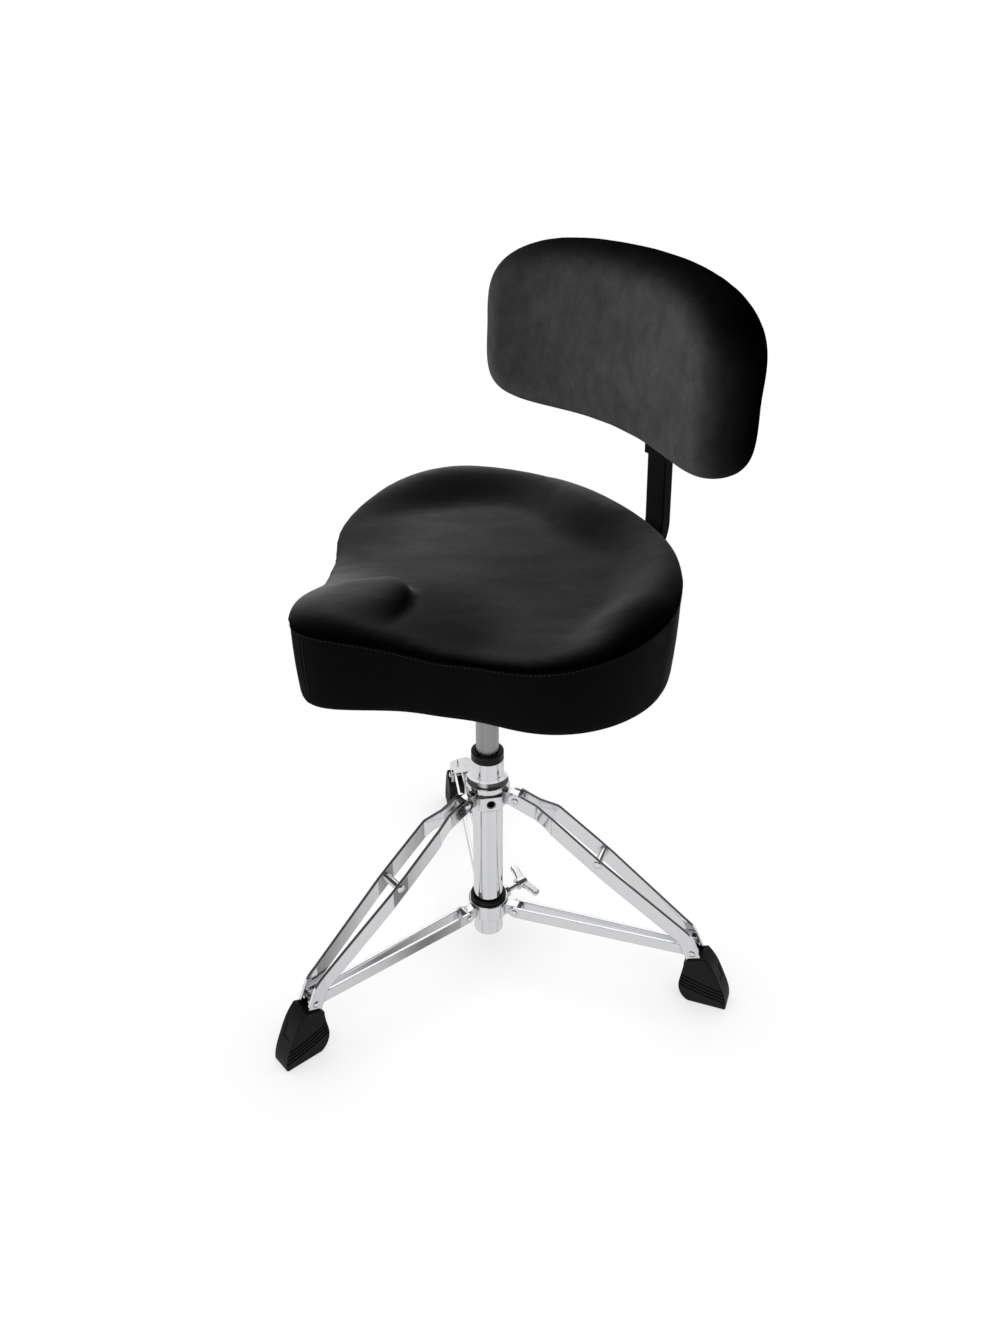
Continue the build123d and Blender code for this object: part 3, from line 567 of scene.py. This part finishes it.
def top_height(forward, side):
    """Height of the velour top: a rolled rim round a bowl that is lower under the thighs, and the nose."""
    angle = np.arctan2(side, forward)
    gap = seat_radius(angle) - np.hypot(forward, side)
    crown = periodic_spline(CROWN_AT, angle)
    roll = periodic_spline(ROLL_AT, angle)
    rim = seat_seam(angle) + crown
    ahead = forward + SEAT_AHEAD
    bowl = BOWL_HEIGHT + REAR_RISE * smooth((-ahead - 25) / 130) - THIGH_DROP * smooth((ahead - 40) / 70)
    inner = bowl + nose_height(ahead, side)
    run = 56 - 22 * np.exp(-(((np.abs(np.degrees(angle)) - 68) / 22) ** 2))
    climb = smooth((gap - roll * 0.85) / run)
    height = rim * (1 - climb) + inner * climb
    over = 1 - np.clip(gap / roll, 0, 1)
    return height - (crown - 5) * (1 - np.sqrt(np.clip(1 - over**ROUNDING, 0, 1)))


def seat_top_mesh():
    """Closed velour top: crowned surface, a lip proud of the side cover, and a hidden underside."""
    around = 220
    angle = np.linspace(0, 2 * np.pi, around, endpoint=False)
    rings = []
    for fraction in np.sin(np.linspace(0.04, 0.5, 44) * np.pi):
        r = seat_radius(angle) * fraction
        forward = r * np.cos(angle)
        side = r * np.sin(angle)
        rings.append(seat_point(forward, side, top_height(forward, side)))
    seam = seat_seam(angle)
    for proud, above in LIP:
        rings.append(outline_ring(angle, -proud, seam + above))
    rings.append(outline_ring(angle, 12.0, np.full(around, COVER_LOW)))
    middle = np.zeros(1)
    top = seat_point(middle, middle, top_height(middle + 1e-6, middle))
    under = seat_point(middle, middle, middle + COVER_LOW)
    faces = grid_faces(len(rings), around)
    centre = len(rings) * around
    last = centre - around
    for j in range(around):
        k = (j + 1) % around
        faces.append((centre, k, j))
        faces.append((centre + 1, last + j, last + k))
    return rows(np.concatenate([*rings, top, under])), faces


def wall_inset(fraction):
    """How far the side cover lies inside the outline, from 0 at the seam to 1 at the bottom."""
    return WALL_LEAN * fraction - WALL_BELLY * math.sin(fraction * math.pi)


def seat_wall_mesh():
    """Vinyl side: closed ring whose wall leans in and rolls under the board."""
    around = 360
    angle = np.linspace(0, 2 * np.pi, around, endpoint=False)
    seam = seat_seam(angle)
    level = np.zeros(around)
    rings = []
    for fraction in (0.0, 0.04, 0.12, 0.3, 0.5, 0.7, 0.86):
        rings.append((0.4 + wall_inset(fraction), seam * (1 - fraction) + (BOTTOM + 2) * fraction))
    for turn in (15, 35, 55, 75, 90):
        bend = math.radians(turn)
        height = level + BOTTOM + UNDER_ROLL * (1 - math.sin(bend))
        rings.append((5.0 + UNDER_ROLL * (1 - math.cos(bend)), height))
    for inset, above in ((34.0, -0.6), (34.0, 1.0), (16.0, 2.0), (8.0, 14.0)):
        rings.append((inset, level + BOTTOM + above))
    rings.append((4.0, seam - 2.0))
    verts = [outline_ring(angle, inset, height) for inset, height in rings]
    return rows(np.concatenate(verts)), grid_faces(len(rings), around, closed_rings=True)


def orient(obj):
    """Make the faces of a closed mesh point outward."""
    mesh = bmesh.new()
    mesh.from_mesh(obj.data)
    bmesh.ops.remove_doubles(mesh, verts=mesh.verts, dist=1e-6)
    bmesh.ops.recalc_face_normals(mesh, faces=mesh.faces)
    mesh.to_mesh(obj.data)
    mesh.free()
    obj.data.update()


def use_modifier(obj, name):
    """Apply one modifier."""
    bpy.context.view_layer.objects.active = obj
    obj.select_set(True)
    bpy.ops.object.modifier_apply(modifier=name)
    obj.select_set(False)


def coords(obj):
    """Positions of the mesh's points, in metres."""
    flat = np.empty(len(obj.data.vertices) * 3)
    obj.data.vertices.foreach_get("co", flat)
    return flat.reshape(-1, 3)


def set_coords(obj, points):
    """Move the mesh's points to new positions."""
    obj.data.vertices.foreach_set("co", points.ravel())
    obj.data.update()


def puff(obj, voxel, cap, held):
    """Remesh evenly, let cloth swell it under pressure, cap each point's travel, and smooth once."""
    remesh = obj.modifiers.new("even", "REMESH")
    remesh.mode = "VOXEL"
    remesh.voxel_size = voxel
    remesh.use_smooth_shade = True
    use_modifier(obj, "even")
    start = coords(obj)
    group = obj.vertex_groups.new(name="held")
    for index in np.nonzero(held(start))[0]:
        group.add([int(index)], 1.0, "REPLACE")
    cloth = obj.modifiers.new("cloth", "CLOTH")
    cloth.settings.quality = 5
    cloth.settings.mass = 0.3
    cloth.settings.tension_stiffness = 12
    cloth.settings.compression_stiffness = 12
    cloth.settings.bending_stiffness = 0.6
    cloth.settings.use_pressure = True
    cloth.settings.uniform_pressure_force = CLOTH_PRESSURE
    cloth.settings.vertex_group_mass = "held"
    cloth.settings.effector_weights.gravity = 0
    cloth.point_cache.frame_start = 1
    cloth.point_cache.frame_end = CLOTH_FRAMES
    for number in range(1, CLOTH_FRAMES + 1):
        bpy.context.scene.frame_set(number)
    use_modifier(obj, "cloth")
    moved = coords(obj) - start
    length = np.linalg.norm(moved, axis=1, keepdims=True)
    limit = np.minimum(1.0, cap / np.maximum(length, 1e-9))
    set_coords(obj, start + moved * limit)
    obj.vertex_groups.clear()
    bpy.context.scene.frame_set(1)
    soften = obj.modifiers.new("soften", "CORRECTIVE_SMOOTH")
    soften.factor = 0.5
    soften.iterations = 4
    soften.use_only_smooth = True
    use_modifier(obj, "soften")
    subdivide = obj.modifiers.new("fine", "SUBSURF")
    subdivide.levels = 1
    subdivide.render_levels = 1
    use_modifier(obj, "fine")
    obj.data.polygons.foreach_set("use_smooth", [True] * len(obj.data.polygons))


def dress(obj, material, body, replaced):
    """Give a cover its material, the body it moves with and the piece it stands in for."""
    obj.data.materials.clear()
    obj.data.materials.append(material)
    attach(obj, body)
    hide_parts(replaced)


def top_held(points):
    """Where the top cover is pulled tight behind the side cover."""
    return points[:, 2] < COVER_HELD * MM


verts, faces = seat_top_mesh()
seat_top = mesh_object("seat_top_cover", verts, faces, VELOUR)
orient(seat_top)
puff(seat_top, SEAT_VOXEL, SEAT_SWELL, top_held)
dress(seat_top, VELOUR, "seat", "seat_cushion")

verts, faces = seat_wall_mesh()
seat_wall = mesh_object("seat_side_cover", verts, faces, VINYL)
orient(seat_wall)
dress(seat_wall, VINYL, "seat", "seat_side_band")


# ---------------------------------------------------------------- seat seams

# Stitches: place along the thread and thickness there, as parts of length and radius
STITCH_PROFILE = ((-0.5, 0.35), (-0.36, 0.9), (0.0, 1.0), (0.36, 0.9), (0.5, 0.35))
STITCH_AROUND = 6
STITCH_RADIUS = 0.00050
STITCH_INSET = 0.1

# Rim stitching: below the seam, apart (millimetres), and each thread's length (metres)
RIM_DROP = 3.2
RIM_PITCH = 4.6
RIM_LENGTH = 0.0028

# Upright stitching at the nose: its seam's offset from the middle, the rows beside it, first and last height
NOSE_SEAM = 9.5
NOSE_ROWS = (-2.4, 2.4)
NOSE_LOW = 486.0
NOSE_HIGH = 556.0
NOSE_PITCH = 4.4
NOSE_LENGTH = 0.0027


def stitch_row(name, centres, directions, length):
    """Short rounded threads laid end to end along a seam of the seat."""
    verts = []
    faces = []
    for centre, direction in zip(centres, directions):
        d = Vector(direction).normalized()
        helper = Vector((0, 0, 1)) if abs(d.z) < 0.8 else Vector((1, 0, 0))
        u = d.cross(helper).normalized()
        v = d.cross(u)
        base = len(verts)
        for along, size in STITCH_PROFILE:
            for j in range(STITCH_AROUND):
                a = 2 * math.pi * j / STITCH_AROUND
                out = (u * math.cos(a) + v * math.sin(a)) * STITCH_RADIUS * size
                verts.append(Vector(centre) + d * (along * length) + out)
        for face in grid_faces(len(STITCH_PROFILE), STITCH_AROUND):
            faces.append(tuple(base + i for i in face))
        end = len(verts) - STITCH_AROUND
        faces.append(tuple(base + j for j in reversed(range(STITCH_AROUND))))
        faces.append(tuple(end + j for j in range(STITCH_AROUND)))
    obj = mesh_object(name, verts, faces, THREAD)
    orient(obj)
    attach(obj, "seat")


def along_line(line, travel, marks):
    """Points on a line at distances travelled along it."""
    return np.stack([np.interp(marks, travel, line[:, axis]) for axis in range(3)], -1)


def rim_stitches():
    """Top stitching just under the rim, all round: middles and directions."""
    fine = np.linspace(0, 2 * np.pi, 4001)
    line = outline_ring(fine, STITCH_INSET, seat_seam(fine) - RIM_DROP)
    travel = np.concatenate([[0], np.cumsum(np.linalg.norm(np.diff(line, axis=0), axis=1))])
    count = int(travel[-1] / RIM_PITCH)
    marks = (np.arange(count) + 0.5) * travel[-1] / count
    at = along_line(line, travel, marks)
    return rows(at), along_line(line, travel, marks + 1) - at


def nose_stitches():
    """Two upright rows either side of the seam that closes the side cover: middles and directions."""
    places = []
    for offset in NOSE_ROWS:
        for height in np.arange(NOSE_LOW, NOSE_HIGH, NOSE_PITCH):
            angle = np.array([math.asin((NOSE_SEAM + offset) / RADIUS_AT[0])])
            seam = seat_seam(angle)[0]
            fraction = (seam - height) / (seam - BOTTOM - 2)
            places.append(outline_ring(angle, STITCH_INSET + wall_inset(fraction), np.array([height]))[0])
    return rows(places), [(0, 0, 1)] * len(places)


stitch_row("seat_rim_stitching", *rim_stitches(), RIM_LENGTH)
stitch_row("seat_nose_seam_stitching", *nose_stitches(), NOSE_LENGTH)


# ---------------------------------------------------------------- backrest pad

# Millimetres: the pad's middle, its size and the radius of its bow; its tilt is in radians, the power sets
# how square its corners are, and the droop is how much lower its ends hang than its middle
PAD = {"behind": 201.3, "height": 779.7, "width": 418.4, "tall": 199.0, "thick": 75.6, "bend": 447.8}
PAD_TILT = 0.03
PAD_POWER = 4.39
PAD_DROOP = 18.1
PAD_CROWN = 2.5
PAD_ROOM = 1.2
PAD_STEPS = 12

# Back of the pad where it lies on its plate, in metres: behind the column, and half its width
BACK_BEHIND = 0.247
BACK_HALF = 0.052

# Plate screwed to the pad's back: its face, half its size, and how the cover sinks under it and eases out
PLATE_FRONT = 34.8
PLATE_HALF = (52.0, 62.0)
PLATE_SINK = 0.5
PLATE_CLEAR = 30.0
PLATE_EASE = 24.0


def back_held(points):
    """Where the pad's cover lies on its plate."""
    return (points[:, 1] > BACK_BEHIND) & (np.abs(points[:, 0] - COLUMN[0] * MM) < BACK_HALF)


def press_under_plate(obj):
    """Sink the cover's back under the screwed-on plate, easing out around the plate's edge."""
    points = coords(obj) / MM - COLUMN
    behind = points[:, 1] - PAD["behind"]
    above = points[:, 2] - PAD["height"]
    depth = behind * math.cos(PAD_TILT) - above * math.sin(PAD_TILT)
    along = behind * math.sin(PAD_TILT) + above * math.cos(PAD_TILT)
    outside = np.maximum(np.abs(points[:, 0]) - PLATE_HALF[0], np.abs(along) - PLATE_HALF[1])
    limit = PLATE_FRONT - PLATE_SINK + PLATE_CLEAR * smooth(outside / PLATE_EASE)
    pressed = np.minimum(depth, limit)
    points[:, 1] = PAD["behind"] + pressed * math.cos(PAD_TILT) + along * math.sin(PAD_TILT)
    points[:, 2] = PAD["height"] + along * math.cos(PAD_TILT) - pressed * math.sin(PAD_TILT)
    set_coords(obj, (points + COLUMN) * MM)


def pad_mesh():
    """Bowed cushion: rounded-rectangle rings through its thickness, smaller rings over front and back."""
    around = 160
    turn = np.linspace(0, 2 * np.pi, around, endpoint=False)
    cos_t = np.cos(turn)
    sin_t = np.sin(turn)
    unit_x = np.sign(cos_t) * np.abs(cos_t) ** (2 / PAD_POWER)
    unit_z = np.sign(sin_t) * np.abs(sin_t) ** (2 / PAD_POWER)
    half = PAD["thick"] / 2 - PAD_ROOM
    half_w = PAD["width"] / 2 - PAD_ROOM
    half_h = PAD["tall"] / 2 - PAD_ROOM
    flat_w = half_w - half
    flat_h = half_h - half
    rings = []
    for step in np.linspace(0, 1, PAD_STEPS)[:-1]:
        rings.append((step * flat_w, step * flat_h, -1.0))
    for k in np.linspace(-0.5, 0.5, 25):
        inset = half * (1 - math.cos(k * math.pi) ** 0.5)
        rings.append((half_w - inset, half_h - inset, math.sin(k * math.pi)))
    for step in np.linspace(1, 0, PAD_STEPS)[1:]:
        rings.append((step * flat_w, step * flat_h, 1.0))
    verts = []
    for wide, tall, depth in rings:
        x = wide * unit_x
        crown = 0.0
        if abs(depth) == 1.0 and wide < flat_w:
            crown = PAD_CROWN * (1 - (wide / flat_w) ** 2)
        y = np.full(around, depth * half + math.copysign(crown, depth))
        z = tall * unit_z - PAD_DROOP * (x / (PAD["width"] / 2)) ** 2
        bend = x / PAD["bend"]
        reach = PAD["bend"] - y
        side = reach * np.sin(bend)
        ahead = PAD["bend"] - reach * np.cos(bend)
        tilted = ahead * math.cos(PAD_TILT) - z * math.sin(PAD_TILT)
        height = z * math.cos(PAD_TILT) + ahead * math.sin(PAD_TILT)
        verts.append(np.stack([side, PAD["behind"] - tilted, height + PAD["height"]], -1))
    return rows(np.concatenate(verts)), grid_faces(len(rings), around)


verts, faces = pad_mesh()
pad = mesh_object("backrest_pad_cover", verts, faces, PAD_VELOUR)
orient(pad)
puff(pad, PAD_VOXEL, PAD_SWELL, back_held)
press_under_plate(pad)
dress(pad, PAD_VELOUR, "backrest_head", "pad_cushion")


# ---------------------------------------------------------------- stage


def floor_material():
    """Clear pale floor with a painted contact shadow: it darkens only where something stands close to it."""
    mat = bpy.data.materials.new("pale floor")
    mat.use_nodes = True
    nodes = mat.node_tree.nodes
    links = mat.node_tree.links
    nodes.clear()
    out = nodes.new("ShaderNodeOutputMaterial")
    near = nodes.new("ShaderNodeAmbientOcclusion")
    near.samples = 12
    near.inputs["Distance"].default_value = 0.10
    clear = nodes.new("ShaderNodeBsdfTransparent")
    # Painted contact shadow: dark grey shown where the floor's occlusion is low.
    dark = nodes.new("ShaderNodeEmission")
    dark.inputs["Color"].default_value = (0.30, 0.30, 0.31, 1)
    mix = nodes.new("ShaderNodeMixShader")
    links.new(map_range(nodes, links, near.outputs["AO"], (0.35, 1.0), (0.42, 0.0)), mix.inputs["Fac"])
    links.new(clear.outputs["BSDF"], mix.inputs[1])
    links.new(dark.outputs["Emission"], mix.inputs[2])
    links.new(mix.outputs["Shader"], out.inputs["Surface"])
    return mat


FLOOR_HALF = 3.0
FLOOR_LEVEL = -0.0004
corners = [(x * FLOOR_HALF, y * FLOOR_HALF, FLOOR_LEVEL) for x, y in ((-1, -1), (1, -1), (1, 1), (-1, 1))]
floor = mesh_object("floor", corners, [(0, 1, 2, 3)], floor_material(), shade=False)
floor.visible_glossy = False
floor.visible_diffuse = False
floor.visible_shadow = False


def area_light(name, place, target, width, height, power):
    """White rectangular lamp aimed at the target."""
    lamp = bpy.data.lights.new(name, "AREA")
    lamp.shape = "RECTANGLE"
    lamp.size = width
    lamp.size_y = height
    lamp.energy = power
    obj = bpy.data.objects.new(name, lamp)
    obj.location = place
    aim = Vector(target) - Vector(place)
    obj.rotation_euler = aim.to_track_quat("-Z", "Y").to_euler()
    bpy.context.scene.collection.objects.link(obj)
    return obj


middle = (0.0, 0.0, 0.45)
lamps = [
    area_light("key_back_left", (-1.5, 1.7, 2.1), middle, 1.5, 1.5, 85),
    area_light("fill_front", (-0.5, -2.6, 1.3), (0.0, 0.2, 0.6), 1.2, 1.4, 44),
]
for lamp in lamps:
    lamp.visible_glossy = False


def ramp_node(nodes, stops):
    """Grey ramp from a list of positions and values."""
    node = nodes.new("ShaderNodeValToRGB")
    ramp = node.color_ramp
    first = stops[0]
    last = stops[-1]
    ramp.elements[0].position = first[0]
    ramp.elements[0].color = (first[1],) * 3 + (1,)
    ramp.elements[1].position = last[0]
    ramp.elements[1].color = (last[1],) * 3 + (1,)
    for position, value in stops[1:-1]:
        element = ramp.elements.new(position)
        element.color = (value,) * 3 + (1,)
    return node


def compass_stops(stops):
    """Turn degrees from -180 to 180 into ramp positions."""
    return [((degrees + 180.0) / 360.0, value) for degrees, value in stops]


# Grey of the room that the chrome mirrors, by degrees of the compass, below and above the horizon
ROOM_LOW = [
    (-180, 1.0),
    (-96, 1.0),
    (-91, 0.9),
    (-88, 0.22),
    (-85, 0.95),
    (-50, 1.0),
    (-36, 0.92),
    (-20, 0.95),
    (30, 0.97),
    (35, 0.85),
    (38, 0.20),
    (43, 0.9),
    (70, 1.0),
    (100, 0.8),
    (120, 1.0),
    (180, 1.0),
]
ROOM_HIGH = [
    (-180, 0.10),
    (-140, 0.06),
    (-100, 0.07),
    (-70, 0.55),
    (-50, 0.60),
    (-30, 0.08),
    (60, 0.06),
    (108, 0.10),
    (116, 1.10),
    (158, 1.10),
    (170, 0.15),
    (180, 0.10),
]

# Grey of its floor, and the share of the upper room, from straight down (0) to straight up (1)
ROOM_FLOOR = [(0.0, 0.58), (0.18, 0.72), (0.40, 0.80), (0.49, 0.88), (1.0, 0.88)]
ROOM_HORIZON = [(0.0, 0.0), (0.505, 0.0), (0.555, 1.0), (1.0, 1.0)]


def make_world():
    """White behind the object; reflections see a white floor, a dark ceiling and one wide bright panel."""
    world = bpy.data.worlds.new("studio")
    bpy.context.scene.world = world
    world.use_nodes = True
    nodes = world.node_tree.nodes
    links = world.node_tree.links
    nodes.clear()
    out = nodes.new("ShaderNodeOutputWorld")
    seen = nodes.new("ShaderNodeBackground")
    seen.inputs["Color"].default_value = (1, 1, 1, 1)
    room = nodes.new("ShaderNodeBackground")
    path = nodes.new("ShaderNodeLightPath")
    mix = nodes.new("ShaderNodeMixShader")
    coord = nodes.new("ShaderNodeTexCoord")
    split = nodes.new("ShaderNodeSeparateXYZ")
    links.new(coord.outputs["Generated"], split.inputs["Vector"])
    turn = math_node(nodes, links, "ARCTAN2", split.outputs["Y"], split.outputs["X"])
    compass = math_node(nodes, links, "MULTIPLY_ADD", turn.outputs["Value"], 0.5 / math.pi, 0.5)
    level = math_node(nodes, links, "MULTIPLY_ADD", split.outputs["Z"], 0.5, 0.5)
    low = ramp_node(nodes, compass_stops(ROOM_LOW))
    links.new(compass.outputs["Value"], low.inputs["Fac"])
    high = ramp_node(nodes, compass_stops(ROOM_HIGH))
    links.new(compass.outputs["Value"], high.inputs["Fac"])
    floor_level = ramp_node(nodes, ROOM_FLOOR)
    links.new(level.outputs["Value"], floor_level.inputs["Fac"])
    below = nodes.new("ShaderNodeMix")
    below.data_type = "RGBA"
    below.blend_type = "MULTIPLY"
    below.inputs["Factor"].default_value = 1.0
    links.new(floor_level.outputs["Color"], below.inputs["A"])
    links.new(low.outputs["Color"], below.inputs["B"])
    sky = ramp_node(nodes, ROOM_HORIZON)
    links.new(level.outputs["Value"], sky.inputs["Fac"])
    both = nodes.new("ShaderNodeMix")
    both.data_type = "RGBA"
    links.new(sky.outputs["Color"], both.inputs["Factor"])
    links.new(below.outputs["Result"], both.inputs["A"])
    links.new(high.outputs["Color"], both.inputs["B"])
    links.new(both.outputs["Result"], room.inputs["Color"])
    links.new(path.outputs["Is Camera Ray"], mix.inputs["Fac"])
    links.new(room.outputs["Background"], mix.inputs[1])
    links.new(seen.outputs["Background"], mix.inputs[2])
    links.new(mix.outputs["Shader"], out.inputs["Surface"])


make_world()

lens = bpy.data.cameras.new("camera")
lens.lens = 32.12
lens.sensor_width = 36.0
lens.clip_start = 0.05
camera = bpy.data.objects.new("camera", lens)
camera.location = tuple(rows([954.4, -671.9, 1147.9]))
camera.rotation_euler = Vector((-0.6933, 0.5018, -0.5173)).to_track_quat("-Z", "Y").to_euler()
bpy.context.scene.collection.objects.link(camera)
bpy.context.scene.camera = camera
bpy.context.scene.view_settings.view_transform = "Standard"
